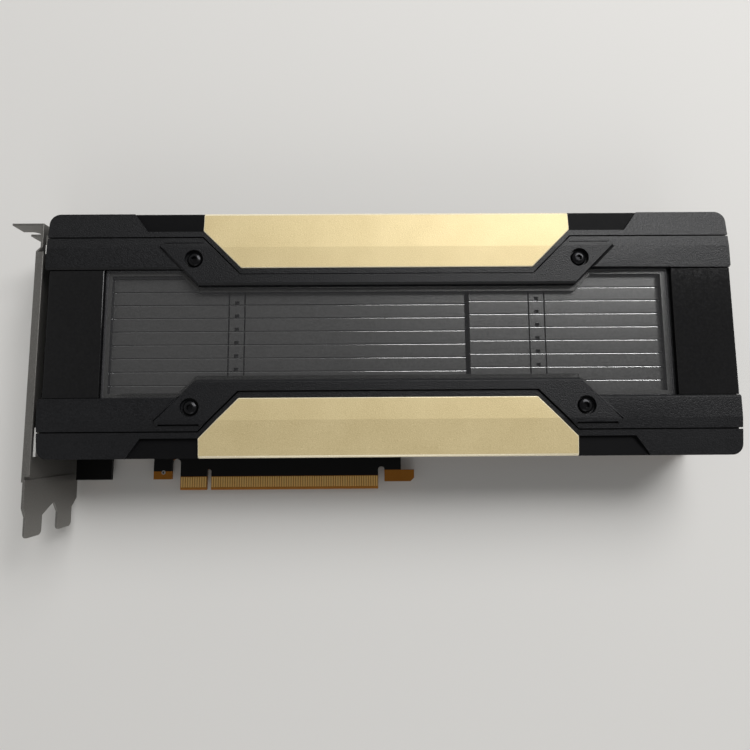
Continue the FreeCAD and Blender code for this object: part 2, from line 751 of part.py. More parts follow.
def build_rail(name, sign):
    """A clamp rail: low at its ends, raised along the middle and under the two screws."""
    body = new_body(name)

    def at(distance):
        return f"centre_y {sign} ({distance})"

    outer_end = "(rib_end - seam)"
    outer_mid = "(rib_mid - seam)"
    outer_diagonal = "(rib_diagonal + seam * sqrt(2))"
    inner = [
        ("centre_x - rail_diagonal - rail_end", at("rail_end")),
        ("centre_x - rail_diagonal - rail_mid", at("rail_mid")),
        ("centre_x + rail_diagonal + rail_mid", at("rail_mid")),
        ("centre_x + rail_diagonal + rail_end", at("rail_end")),
    ]
    outer = [
        (f"centre_x + {outer_diagonal} + {outer_end}", at(outer_end)),
        (f"centre_x + {outer_diagonal} + {outer_mid}", at(outer_mid)),
        (f"centre_x - {outer_diagonal} - {outer_mid}", at(outer_mid)),
        (f"centre_x - {outer_diagonal} - {outer_end}", at(outer_end)),
    ]
    ends = [("rear_end", at("rail_end")), ("rear_end", at(outer_end))]
    ends_front = [("shroud_front", at(outer_end)), ("shroud_front", at("rail_end"))]
    pad_plan(body, "strip", inner + ends + outer + ends_front, seat_level, frame_top)
    cut_plan(body, "strip_slope", [
        (at("crease"), frame_top),
        (at("half_width"), frame_top),
        (at("half_width"), f"{frame_top} - slope_drop"),
    ], "shroud_front", "rear_end", "YZ_Plane")
    pad_plan(body, "raised_part", on_both_ends([
        ("rail_diagonal + rail_mid", at("rail_mid")),
        ("rail_diagonal + pad_tip", at("pad_tip")),
        ("rail_diagonal + pad_tip - pad_nose", at("pad_edge")),
        (f"{outer_diagonal} + pad_edge", at("pad_edge")),
        (f"{outer_diagonal} + {outer_mid}", at(outer_mid)),
    ]), seat_level, pad_top)
    cut_plan(body, "raised_slope", [
        (at("crease"), pad_top),
        (at("half_width"), pad_top),
        (at("half_width"), f"{pad_top} - slope_drop"),
    ], "shroud_front", "rear_end", "YZ_Plane")
    mine = [place for place in rail_screws if f"centre_y {sign}" in place[1]]
    cut_discs(body, "counterbores", mine, "counterbore_radius", f"({pad_top} - counterbore_depth)", pad_top)
    cut_discs(body, "screw_holes", mine, "rail_shank_radius + clearance_gap", seat_level, pad_top)


def build_accent(name, sign):
    """A gold plate with 45 degree ends. Its outer strip slopes down to a chamfered edge."""
    body = new_body(name)

    def at(distance):
        return f"centre_y {sign} ({distance})"

    accent_top = f"({seat_level} + accent_thick)"
    pad_plan(body, "plate", on_both_ends([
        ("accent_diagonal + accent_mid", at("accent_mid")),
        (accent_reach, at("accent_end")),
        (accent_reach, at("half_width")),
    ]), seat_level, accent_top)
    slope = cut_plan(body, "slope", [
        (at("crease"), accent_top),
        (at("half_width"), accent_top),
        (at("half_width"), f"{accent_top} - slope_drop"),
    ], "shroud_front", "rear_end", "YZ_Plane")
    chamfer_edges(body, "outer_chamfer", slope, [
        ("centre_x", at("half_width"), f"{accent_top} - slope_drop")], "accent_chamfer")


for side, sign in (("upper", "+"), ("lower", "-")):
    build_rail(f"{side}_rail", sign)
    build_accent(f"{side}_accent_plate", sign)

# ---- Window and end panels: flat sheets on the deck, between the rails.
outline = []
for sign, order in (("+", 1), ("-", -1)):
    half = [
        ("window_rear", f"centre_y {sign} (rail_end - fit_gap)"),
        ("centre_x + rail_diagonal + rail_end", f"centre_y {sign} (rail_end - fit_gap)"),
        ("centre_x + rail_diagonal + rail_mid", f"centre_y {sign} (rail_mid - fit_gap)"),
        ("centre_x - rail_diagonal - rail_mid", f"centre_y {sign} (rail_mid - fit_gap)"),
        ("centre_x - rail_diagonal - rail_end", f"centre_y {sign} (rail_end - fit_gap)"),
        ("window_front", f"centre_y {sign} (rail_end - fit_gap)"),
    ]
    outline += half[::order]
body = new_body("window")
pad_plan(body, "sheet", outline, seat_level, f"({seat_level} + window_thick)")
for end, left, right in (("front", "shroud_front + front_panel_inset", "window_front - panel_gap"),
                         ("rear", "window_rear + rear_panel_gap", "rear_end")):
    body = new_body(f"{end}_panel")
    pad_plan(body, "sheet", rectangle(
        left, right, "centre_y - rail_end + fit_gap", "centre_y + rail_end - fit_gap"),
        seat_level, f"({seat_level} + panel_thick)")

# ---- Rail screws: round heads in the counterbores, hexagon sockets, shanks in the deck.
body = new_body("rail_screws")
head_under = f"({pad_top} - counterbore_depth)"
head_top = f"({head_under} + rail_head_height)"
pad_discs(body, "heads", rail_screws, "rail_head_radius", head_under, head_top)
pad_shanks(body, "shank", rail_screws, "rail_shank_radius", f"({seat_level} - rail_screw_bite)", head_under)
for index, (across, up) in enumerate(rail_screws):
    cut_plan(body, f"socket_{index}", [
        (f"{across} + socket_size / sqrt(3)", up),
        (f"{across} + socket_size / sqrt(12)", f"{up} + socket_size / 2"),
        (f"{across} - socket_size / sqrt(12)", f"{up} + socket_size / 2"),
        (f"{across} - socket_size / sqrt(3)", up),
        (f"{across} - socket_size / sqrt(12)", f"{up} - socket_size / 2"),
        (f"{across} + socket_size / sqrt(12)", f"{up} - socket_size / 2"),
    ], f"({head_top} - socket_depth)", head_top)

# ---- Back plate: shallow tray. Its rim stands on the board.
body = new_body("back_plate")
tray = pad_plan(body, "tray", rectangle("back_front", "rear_end - board_inset", board_low, board_high),
                back_outer, f"(-{board_top})")
round_edges(body, "tray_corners", tray, [
    ("rear_end - board_inset", board_low, None),
    ("rear_end - board_inset", board_high, None)], "corner_radius")
cut_plan(body, "hollow", rectangle(
    "back_front + back_rim", "rear_end - board_inset - back_rim",
    f"{board_low} + back_rim", f"{board_high} - back_rim"), back_inner, f"(-{board_top})")

# ---- I/O bracket: folded sheet with a joggled tongue, fixing flange, stiffening lip and vents.
# Two tabs fix it to the board.
outer_face = "(bracket_face - bracket_sheet)"
prong_tip = "(bracket_top - bracket_length)"
prongs = [(f"(prong_centre + {step} * slot_pitch - prong_width / 2)",
           f"(prong_centre + {step} * slot_pitch + prong_width / 2)") for step in (0, 1)]
body = new_body("bracket")
valley = f"({prongs[0][1]} + valley_offset)"
tongue = pad_plan(body, "tongue", [
    ("jog_y + bracket_sheet", "bracket_low"),
    ("jog_y + bracket_sheet", "bracket_high"),
    ("shoulder_y", "bracket_high"),
    ("prong_root", prongs[1][1]),
    (prong_tip, prongs[1][1]),
    (prong_tip, prongs[1][0]),
    ("valley_root", prongs[1][0]),
    ("valley_y", valley),
    ("valley_root", prongs[0][1]),
    (prong_tip, prongs[0][1]),
    (prong_tip, prongs[0][0]),
    ("prong_root", prongs[0][0]),
    ("shoulder_y", "bracket_low"),
], f"({outer_face} + tongue_jog)", "(bracket_face + tongue_jog)", "YZ_Plane")
tips = round_edges(body, "prong_tips", tongue, [
    (None, prong_tip, side) for prong in prongs for side in prong], "prong_radius")
round_edges(body, "valley_end", tips, [(None, "valley_y", valley)], "valley_radius")
pad_plan(body, "face", [
    ("bracket_top", "bracket_low"),
    ("bracket_top", "step_high"),
    ("step_top", "step_high"),
    ("step_foot", "bracket_high"),
    ("jog_y", "bracket_high"),
    ("jog_y", "bracket_low"),
], outer_face, "bracket_face", "YZ_Plane")
pad_plan(body, "flange", rectangle(
    "flange_tip", "bracket_face", "bracket_top - bracket_sheet", "bracket_top"), "bracket_low", "step_high")
pad_plan(body, "lip", rectangle("bracket_face", "bracket_face + lip_depth", "lip_low", "lip_high"),
         "(bracket_high - bracket_sheet)", "bracket_high")
for side, middle in (("low", "tab_low_y"), ("high", "tab_high_y")):
    pad_plan(body, f"{side}_tab", rectangle(
        "bracket_face", "bracket_face + tab_reach", f"{middle} - tab_width / 2", f"{middle} + tab_width / 2"),
        board_top, f"({board_top} + bracket_sheet)")
cut_discs(body, "tab_threads", tab_screws, "shank_radius + thread_gap",
          board_top, f"({board_top} + bracket_sheet)")
for tier, low in (("lower", "vent_low"), ("upper", "(vent_low + vent_row_pitch)")):
    vent = cut_plan(body, f"{tier}_vent", [
        ("vent_first", low),
        ("vent_first + vent_width / 2", f"{low} + vent_point"),
        ("vent_first + vent_width / 2", f"{low} + vent_height - vent_point"),
        ("vent_first", f"{low} + vent_height"),
        ("vent_first - vent_width / 2", f"{low} + vent_height - vent_point"),
        ("vent_first - vent_width / 2", f"{low} + vent_point"),
    ], outer_face, "bracket_face", "YZ_Plane")
    repeat(body, f"{tier}_vents", [vent], "Y_Axis", "vent_pitch", "vent_count")
for side in ("near", "far"):
    cut_plan(body, f"{side}_slot", rectangle(
        f"({side}_slot_end - {side}_slot_length)", f"{side}_slot_end", "slot_low", "slot_high"),
        outer_face, "bracket_face", "YZ_Plane")
notches = []
for step in (0, 1):
    level = f"prong_centre + {step} * slot_pitch - notch_offset"
    notches.append((f"screw_notch_{step}", rectangle(
        "flange_tip - overcut", "flange_tip + notch_depth - notch_radius",
        f"{level} - notch_radius", f"{level} + notch_radius")))
for name, corners in notches:
    sketch = new_sketch(body, name + "_outline", "XZ_Plane", "-bracket_top - overcut")
    draw_loop(sketch, corners)
    notch = body.newObject("PartDesign::Pocket", name)
    notch.Profile = sketch
    notch.setExpression("Length", bound("bracket_sheet + 2 * overcut"))
    notch.Reversed = True
sketch = new_sketch(body, "notch_ends_circles", "XZ_Plane", "-bracket_top - overcut")
draw_circles(sketch, [
    ("flange_tip + notch_depth - notch_radius", f"prong_centre + {step} * slot_pitch - notch_offset")
    for step in (0, 1)], "notch_radius")
notch = body.newObject("PartDesign::Pocket", "notch_ends")
notch.Profile = sketch
notch.setExpression("Length", bound("bracket_sheet + 2 * overcut"))
notch.Reversed = True

body = new_body("bracket_screws")
head_inner = f"(-{board_top})"
pad_discs(body, "heads", tab_screws, "tab_head_radius", f"({head_inner} - tab_head_height)", head_inner)
pad_shanks(body, "shank", tab_screws, "shank_radius", head_inner, f"({board_top} + bracket_sheet)")

# ---- Check every object, then write each sub-part.
doc.recompute()
failed = [item.Name for item in doc.Objects if "Invalid" in item.State or "Error" in item.State]
bodies = [item for item in doc.Objects if item.TypeId == "PartDesign::Body"]
failed += [item.Label for item in bodies if item.Shape.isNull() or not item.Shape.isValid()]
if failed:
    raise RuntimeError("failed: " + ", ".join(failed))
os.makedirs("parts", exist_ok=True)
for item in bodies:
    item.Shape.exportStep(f"parts/{item.Label}.step")
    print(f"{item.Label}: {len(item.Shape.Solids)} solids, {item.Shape.Volume:.1f} mm3")
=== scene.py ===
import math

import bpy
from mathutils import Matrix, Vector


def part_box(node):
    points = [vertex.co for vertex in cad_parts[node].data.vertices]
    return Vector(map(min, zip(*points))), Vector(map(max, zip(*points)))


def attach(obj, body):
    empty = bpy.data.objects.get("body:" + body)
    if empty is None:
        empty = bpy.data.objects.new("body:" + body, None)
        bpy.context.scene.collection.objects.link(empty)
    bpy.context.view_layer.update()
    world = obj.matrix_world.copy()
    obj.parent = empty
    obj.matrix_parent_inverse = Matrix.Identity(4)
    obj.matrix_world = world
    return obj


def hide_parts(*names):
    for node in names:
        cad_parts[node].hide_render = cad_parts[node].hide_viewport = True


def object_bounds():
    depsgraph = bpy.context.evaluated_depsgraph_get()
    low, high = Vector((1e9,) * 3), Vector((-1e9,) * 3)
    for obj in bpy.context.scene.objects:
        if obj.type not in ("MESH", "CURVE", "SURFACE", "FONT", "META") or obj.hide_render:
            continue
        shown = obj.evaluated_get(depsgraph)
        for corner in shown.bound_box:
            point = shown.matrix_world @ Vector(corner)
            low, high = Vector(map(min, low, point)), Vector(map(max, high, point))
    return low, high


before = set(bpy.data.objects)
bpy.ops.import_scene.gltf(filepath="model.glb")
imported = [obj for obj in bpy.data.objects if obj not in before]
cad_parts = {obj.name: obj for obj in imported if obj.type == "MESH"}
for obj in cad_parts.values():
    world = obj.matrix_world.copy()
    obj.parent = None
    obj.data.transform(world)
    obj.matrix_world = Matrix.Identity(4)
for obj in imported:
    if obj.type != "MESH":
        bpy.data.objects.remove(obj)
cad_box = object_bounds()

# ---- Camera: a hand-held view almost straight down on the card, from a little towards its edge connector.
# It stands close to the card, so a wide lens takes in the whole length.
MM = 0.001
camera_place = (69.446 * MM, 22.840 * MM, 233.494 * MM)
camera_turn = (6.3595, -0.4079, -0.3655)
film_width, focal_length = 36.0, 25.753
nearest_seen = 5 * MM
bpy.ops.object.select_all(action="DESELECT")
bpy.ops.object.camera_add(location=camera_place)
camera = bpy.context.object
camera.rotation_mode = "ZYX"
camera.rotation_euler = [math.radians(turn) for turn in camera_turn]
camera.data.sensor_width = film_width
camera.data.lens = focal_length
camera.data.clip_start = nearest_seen
bpy.context.scene.camera = camera

# ---- Floor: a plain pale sheet that the card lies on.
# Its soft warm grey is matt, so the card's shadow reads.
card_middle = (0.07, 0.05, 0.0)
floor_reach, floor_play = 3.0, 0.05 * MM
bpy.ops.mesh.primitive_plane_add(
    size=2 * floor_reach, location=(card_middle[0], card_middle[1], cad_box[0][2] - floor_play))
floor = bpy.context.object
floor.name = "floor"
floor_paint = bpy.data.materials.new("pale_floor")
floor_paint.use_nodes = True
floor_shader = floor_paint.node_tree.nodes["Principled BSDF"]
floor_shader.inputs["Base Color"].default_value = (0.72, 0.71, 0.69, 1)
floor_shader.inputs["Roughness"].default_value = 0.85
floor_shader.inputs["Specular IOR Level"].default_value = 0.1
floor.data.materials.append(floor_paint)

# ---- Studio light: a large soft lamp beyond the far edge, a smaller one to the rear and a weak one near.
# The room is dimmer overhead than at its walls, so glossy tops stay dark and rounded edges catch light.
wall_light, overhead_light = 0.55, 0.16
wall_height, overhead_height = 0.1, 0.9
for name, place, size, power in (
        ("main_lamp", (0.55, 1.06, 1.25), 1.1, 19.5),
        ("rear_lamp", (0.86, 0.60, 1.00), 0.34, 3.6),
        ("near_lamp", (0.10, -1.20, 0.80), 0.9, 2.0)):
    bpy.ops.object.light_add(type="AREA", location=place)
    lamp = bpy.context.object
    lamp.name = name
    lamp.data.shape = "DISK"
    lamp.data.size = size
    lamp.data.energy = power
    lamp.rotation_euler = (Vector(card_middle) - Vector(place)).to_track_quat("-Z", "Y").to_euler()
room = bpy.data.worlds.new("room")
room.use_nodes = True
room_nodes, room_links = room.node_tree.nodes, room.node_tree.links
direction = room_nodes.new("ShaderNodeTexCoord")
axes = room_nodes.new("ShaderNodeSeparateXYZ")
strength = room_nodes.new("ShaderNodeMapRange")
strength.inputs["From Min"].default_value = wall_height
strength.inputs["From Max"].default_value = overhead_height
strength.inputs["To Min"].default_value = wall_light
strength.inputs["To Max"].default_value = overhead_light
room_links.new(direction.outputs["Generated"], axes.inputs["Vector"])
room_links.new(axes.outputs["Z"], strength.inputs["Value"])
room_links.new(strength.outputs["Result"], room_nodes["Background"].inputs["Strength"])
room_nodes["Background"].inputs["Color"].default_value = (1.0, 0.99, 0.97, 1)
bpy.context.scene.world = room
bpy.context.scene.view_settings.view_transform = "Standard"

# ---- Circuit board: glass-fibre laminate under black solder mask, routed to shape, with bare brown edges.
# The mask stops short of the contacts, of the hook and of the foot of the second tab.
mask_end, hook_shoulder = 5.7 * MM, 7.95 * MM
tongue_front, tongue_rear = -12.15 * MM, 72.15 * MM
second_tab_front, second_tab_rear = -23.6 * MM, -15.9 * MM
same_point, same_plane = 0.001 * MM, math.radians(0.5)
crease_angle, sharp_angle, smooth_angle = math.radians(3), math.radians(25), math.radians(35)


def grainy(name, dark, light, grain, rough, bump, metallic=0.0, specular=0.5):
    """A finish whose colour, gloss and surface vary with a fine grain over a broad, faint one.
    grain is its size in metres, and rough is its least and most roughness."""
    fine_detail, broad_detail, broad_size, broad_share = 3.0, 2.0, 50.0, 0.35
    dark_until, light_from, least_grain, most_grain, grain_height = 0.40, 0.95, 0.3, 0.7, 0.3
    material = bpy.data.materials.new(name)
    material.use_nodes = True
    nodes, links = material.node_tree.nodes, material.node_tree.links
    shader = nodes["Principled BSDF"]
    place = nodes.new("ShaderNodeTexCoord")
    fine = nodes.new("ShaderNodeTexNoise")
    fine.inputs["Scale"].default_value = 1.0 / grain
    fine.inputs["Detail"].default_value = fine_detail
    broad = nodes.new("ShaderNodeTexNoise")
    broad.inputs["Scale"].default_value = 1.0 / (broad_size * grain)
    broad.inputs["Detail"].default_value = broad_detail
    both = nodes.new("ShaderNodeMath")
    both.operation = "MULTIPLY_ADD"
    both.inputs[1].default_value = broad_share
    colours = nodes.new("ShaderNodeValToRGB")
    darkest, lightest = colours.color_ramp.elements
    darkest.position, darkest.color = dark_until, (*dark, 1)
    lightest.position, lightest.color = light_from, (*light, 1)
    gloss = nodes.new("ShaderNodeMapRange")
    gloss.inputs["From Min"].default_value = least_grain
    gloss.inputs["From Max"].default_value = most_grain
    gloss.inputs["To Min"].default_value = rough[0]
    gloss.inputs["To Max"].default_value = rough[1]
    relief = nodes.new("ShaderNodeBump")
    relief.inputs["Strength"].default_value = bump
    relief.inputs["Distance"].default_value = grain * grain_height
    links.new(place.outputs["Object"], fine.inputs["Vector"])
    links.new(place.outputs["Object"], broad.inputs["Vector"])
    links.new(broad.outputs["Fac"], both.inputs[0])
    links.new(fine.outputs["Fac"], both.inputs[2])
    links.new(both.outputs["Value"], colours.inputs["Fac"])
    links.new(colours.outputs["Color"], shader.inputs["Base Color"])
    links.new(fine.outputs["Fac"], gloss.inputs["Value"])
    links.new(gloss.outputs["Result"], shader.inputs["Roughness"])
    links.new(fine.outputs["Fac"], relief.inputs["Height"])
    links.new(relief.outputs["Normal"], shader.inputs["Normal"])
    shader.inputs["Metallic"].default_value = metallic
    shader.inputs["Specular IOR Level"].default_value = specular
    return material


def pick(piece):
    """Select this piece alone and make it the active one."""
    bpy.ops.object.select_all(action="DESELECT")
    piece.select_set(True)
    bpy.context.view_layer.objects.active = piece


def even_out(piece):
    """Light the piece's flat faces as flat right up to their rounded edges."""
    flat = piece.modifiers.new("flat_faces", "WEIGHTED_NORMAL")
    flat.keep_sharp = True
    bpy.ops.object.modifier_apply(modifier="flat_faces")


def finished_copy(node, name, material, edge=0.0, trim=None):
    """A piece of a solid's own shape. Its sharp edges are broken by a small round, its creases stay crisp.
    trim works on the copy before its edges are broken."""
    piece = bpy.data.objects.new(name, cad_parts[node].data.copy())
    bpy.context.scene.collection.objects.link(piece)
    pick(piece)
    bpy.ops.object.mode_set(mode="EDIT")
    bpy.ops.mesh.select_all(action="SELECT")
    bpy.ops.mesh.remove_doubles(threshold=same_point)
    bpy.ops.mesh.dissolve_limited(angle_limit=same_plane)
    bpy.ops.object.mode_set(mode="OBJECT")
    piece.data.materials.clear()
    piece.data.materials.append(material)
    bpy.ops.object.mode_set(mode="EDIT")
    bpy.ops.mesh.select_mode(type="EDGE")
    bpy.ops.mesh.select_all(action="DESELECT")
    bpy.ops.mesh.edges_select_sharp(sharpness=crease_angle)
    bpy.ops.mesh.mark_sharp()
    bpy.ops.mesh.select_all(action="DESELECT")
    bpy.ops.mesh.edges_select_sharp(sharpness=sharp_angle)
    bpy.ops.mesh.mark_sharp(clear=True)
    bpy.ops.object.mode_set(mode="OBJECT")
    bpy.ops.object.shade_smooth_by_angle(angle=smooth_angle)
    if trim:
        trim(piece)
    if edge:
        broken = piece.modifiers.new("broken_edges", "BEVEL")
        broken.width = edge
        broken.segments = 2
        broken.limit_method = "ANGLE"
        broken.angle_limit = sharp_angle
        broken.use_clamp_overlap = True
        broken.harden_normals = True
        bpy.ops.object.modifier_apply(modifier="broken_edges")
        even_out(piece)
    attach(piece, "root")
    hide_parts(node)
    return piece


def coat_faces(piece, material, wanted):
    """Give the material to those faces of the piece that pass the test."""
    piece.data.materials.append(material)
    for face in piece.data.polygons:
        if wanted(face):
            face.material_index = len(piece.data.materials) - 1


def is_bare(face):
    """Tell whether the board's face has no solder mask."""
    x, y, z = face.center
    cut_edge = face.normal.y < -0.7
    on_tongue = y < mask_end and tongue_front < x < tongue_rear
    on_hook = y < hook_shoulder and x > tongue_rear
    on_foot = y < hook_shoulder and second_tab_front < x < second_tab_rear
    return cut_edge or on_tongue or on_hook or on_foot


solder_mask = grainy(
    "solder_mask", (0.002, 0.002, 0.002), (0.005, 0.005, 0.005), grain=0.30 * MM,
    rough=(0.3, 0.45), bump=0.05, specular=0.2)
bare_laminate = grainy(
    "bare_laminate", (0.27, 0.100, 0.010), (0.42, 0.165, 0.020), grain=0.25 * MM,
    rough=(0.5, 0.7), bump=0.25, specular=0.15)
board = finished_copy("pcb", "circuit_board", solder_mask)
bpy.ops.object.mode_set(mode="EDIT")
for level in (mask_end, hook_shoulder):
    bpy.ops.mesh.select_all(action="SELECT")
    bpy.ops.mesh.bisect(plane_co=(0, level, 0), plane_no=(0, 1, 0))
bpy.ops.object.mode_set(mode="OBJECT")
coat_faces(board, bare_laminate, is_bare)

# ---- Tooling hole: a small drilled hole in the second tab, with a ring of tinned copper round it.
# The ring is part of the board's copper and lies on the component side.
board_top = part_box("pcb")[1].z
hole_place, hole_radius, drill_length = (-19.4 * MM, 7.5 * MM), 0.5 * MM, 4 * MM
ring_radius, ring_width, ring_height = 0.85 * MM, 0.33 * MM, 0.04 * MM


def cut_with(piece, cutter):
    """Take the cutter's shape out of the piece, then throw the cutter away."""
    taken = piece.modifiers.new("taken_out", "BOOLEAN")
    taken.operation = "DIFFERENCE"
    taken.solver = "EXACT"
    taken.object = cutter
    bpy.context.view_layer.objects.active = piece
    bpy.ops.object.modifier_apply(modifier="taken_out")
    bpy.data.objects.remove(cutter)


def settle(piece):
    """Put the piece's place into its mesh, with its object at the origin."""
    pick(piece)
    bpy.ops.object.transform_apply(location=True, rotation=True, scale=True)


bpy.ops.object.select_all(action="DESELECT")
bpy.ops.mesh.primitive_cylinder_add(
    vertices=32, radius=hole_radius, depth=drill_length, location=(*hole_place, 0))
cut_with(board, bpy.context.object)

tinned = grainy(
    "tinned_copper", (0.45, 0.45, 0.44), (0.62, 0.62, 0.61), grain=0.2 * MM,
    rough=(0.3, 0.45), bump=0.1, metallic=0.85)
bpy.ops.mesh.primitive_circle_add(
    vertices=40, radius=ring_radius, fill_type="NGON", location=(*hole_place, board_top))
ring = bpy.context.object
ring.name = "tooling_hole_ring"
bpy.ops.object.mode_set(mode="EDIT")
bpy.ops.mesh.select_mode(type="FACE")
bpy.ops.mesh.select_all(action="SELECT")
bpy.ops.mesh.inset(thickness=ring_width)
bpy.ops.mesh.delete(type="FACE")
bpy.ops.mesh.select_all(action="SELECT")
bpy.ops.mesh.extrude_region_move(TRANSFORM_OT_translate={"value": (0, 0, ring_height)})
bpy.ops.mesh.select_all(action="SELECT")
bpy.ops.mesh.normals_make_consistent(inside=False)
bpy.ops.object.mode_set(mode="OBJECT")
ring.data.materials.append(tinned)
settle(ring)
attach(ring, "root")

# ---- Edge contacts: one strip to a contact on each face of the board's tongue.
# They are part of the board's copper, plated with nickel and hard gold.
plated_gold = grainy(
    "plated_gold", (0.78, 0.48, 0.14), (0.92, 0.63, 0.24), grain=0.20 * MM,
    rough=(0.34, 0.48), bump=0.08, metallic=0.30)
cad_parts["edge_contacts"].data.materials[0] = plated_gold

# ---- Inner parts on the board: the processor package, memory, chokes, power stages, pads and capacitors.
# They are out of sight under the base plate, in the finishes of such parts.
for node, finish in (
        ("package_substrate", grainy(
            "substrate_green", (0.02, 0.06, 0.03), (0.03, 0.09, 0.045), grain=0.3 * MM,
            rough=(0.4, 0.55), bump=0.05)),
        ("package_frame", grainy(
            "stiffener_steel", (0.35, 0.35, 0.34), (0.5, 0.5, 0.49), grain=0.2 * MM,
            rough=(0.35, 0.5), bump=0.1, metallic=0.9)),
        ("processor_die", grainy(
            "polished_silicon", (0.10, 0.11, 0.13), (0.15, 0.16, 0.19), grain=0.2 * MM,
            rough=(0.12, 0.2), bump=0.02, metallic=0.5)),
        ("memory_stacks", grainy(
            "memory_mould", (0.02, 0.02, 0.022), (0.04, 0.04, 0.043), grain=0.2 * MM,
            rough=(0.4, 0.55), bump=0.1)),
        ("chokes", grainy(
            "pressed_iron", (0.07, 0.07, 0.075), (0.13, 0.13, 0.135), grain=0.25 * MM,
            rough=(0.5, 0.7), bump=0.3, metallic=0.2)),
        ("power_stages", grainy(
            "chip_mould", (0.012, 0.012, 0.013), (0.03, 0.03, 0.032), grain=0.2 * MM,
            rough=(0.45, 0.6), bump=0.15)),
        ("thermal_pads", grainy(
            "gap_filler", (0.22, 0.24, 0.30), (0.30, 0.32, 0.39), grain=0.4 * MM,
            rough=(0.8, 0.95), bump=0.3)),
        ("capacitors", grainy(
            "polymer_case", (0.02, 0.02, 0.021), (0.05, 0.045, 0.04), grain=0.25 * MM,
            rough=(0.4, 0.6), bump=0.2))):
    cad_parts[node].data.materials[0] = finish

# ---- Base plate: a tray between the board and the shroud, cast in aluminium with a black textured coat.
# It closes the cover from below and draws heat from the power parts on the board.
cast_black = grainy(
    "cast_black", (0.0030, 0.0031, 0.0037), (0.0105, 0.0108, 0.0125), grain=0.50 * MM,
    rough=(0.30, 0.52), bump=1.0, specular=0.30)
base_plate = finished_copy("base_plate", "base_tray", cast_black, edge=0.15 * MM)

# ---- Vapour chamber: a flat, sealed slab of copper with a dull nickel plating.
# It sits on the processor, and both fin stacks stand on it.
nickel = grainy(
    "dull_nickel", (0.30, 0.30, 0.29), (0.42, 0.42, 0.41), grain=0.4 * MM,
    rough=(0.35, 0.5), bump=0.1, metallic=0.85)
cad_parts["vapour_chamber"].data.materials[0] = nickel

# ---- Fin stacks: aluminium sheet folded into channels, side by side on the vapour chamber.
# Two slits across every fold leave a narrow band between them. There a small tongue of each fold
# is pressed down through a notch in the next one and locks the row together.
fin_grey = grainy(
    "fin_sheet_grey", (0.082, 0.082, 0.080), (0.112, 0.112, 0.110), grain=0.8 * MM,
    rough=(0.28, 0.38), bump=0.01, metallic=0.5)
# The bends of the folds get a far lighter, glossier grey than the sheet: a painted highlight along each fold.
fin_painted_highlight = grainy(
    "fin_bend_painted_highlight", (0.34, 0.34, 0.34), (0.44, 0.44, 0.44), grain=0.8 * MM,
    rough=(0.10, 0.16), bump=0.01, metallic=0.95)
# The pressed-down tongues get a darker grey than the fin sheet: painted shade down in the notches.
lock_painted_shade = grainy(
    "lock_tongue_painted_shade", (0.04, 0.04, 0.041), (0.07, 0.07, 0.071), grain=0.3 * MM,
    rough=(0.4, 0.55), bump=0.1, metallic=0.6)
fin_pitch, fin_seam, fin_wall, fin_bend = 5.2 * MM, 0.15 * MM, 0.35 * MM, 0.40 * MM
slit_width, band_width, front_band, rear_band = 0.55 * MM, 6.1 * MM, 14.6 * MM, 130.8 * MM
notch_half, notch_depth = 0.85 * MM, 1.3 * MM
tongue_radius, tongue_reach, tongue_drop = 1.15 * MM, 0.45 * MM, 1.6 * MM
bend_angle, hair = math.radians(40), 0.01 * MM


def select_faces(piece, wanted):
    """Select only those faces of the piece that pass the test, and go on in edit mode."""
    bpy.ops.object.mode_set(mode="EDIT")
    bpy.ops.mesh.select_mode(type="FACE")
    bpy.ops.mesh.select_all(action="DESELECT")
    bpy.ops.object.mode_set(mode="OBJECT")
    for face in piece.data.polygons:
        face.select = wanted(face)
    bpy.ops.object.mode_set(mode="EDIT")


def select_edges(piece, wanted):
    """Select only those edges of the piece whose two ends pass the test, and go on in edit mode."""
    bpy.ops.object.mode_set(mode="EDIT")
    bpy.ops.mesh.select_mode(type="EDGE")
    bpy.ops.mesh.select_all(action="DESELECT")
    bpy.ops.object.mode_set(mode="OBJECT")
    for edge in piece.data.edges:
        edge.select = wanted([piece.data.vertices[index].co for index in edge.vertices])
    bpy.ops.object.mode_set(mode="EDIT")


def fold_channel(name, low, high):
    """Fold one channel, with a foot, a wall and a rounded bend into its top. The other sides are open."""
    bpy.ops.object.select_all(action="DESELECT")
    bpy.ops.mesh.primitive_cube_add(size=1)
    channel = bpy.context.object
    channel.name = name
    wall_side = low.y + fin_pitch - fin_seam
    for corner in channel.data.vertices:
        corner.co.x = low.x if corner.co.x < 0 else high.x
        corner.co.y = low.y if corner.co.y < 0 else wall_side
        corner.co.z = low.z if corner.co.z < 0 else high.z
    select_faces(channel, lambda face: abs(face.normal.x) > 0.5 or face.normal.y < -0.5)
    bpy.ops.mesh.delete(type="FACE")
    select_edges(channel, lambda ends: all(
        end.y > wall_side - hair and end.z > high.z - hair for end in ends))
    bpy.ops.mesh.bevel(offset=fin_bend, segments=3, affect="EDGES")
    bpy.ops.object.mode_set(mode="OBJECT")
    return channel


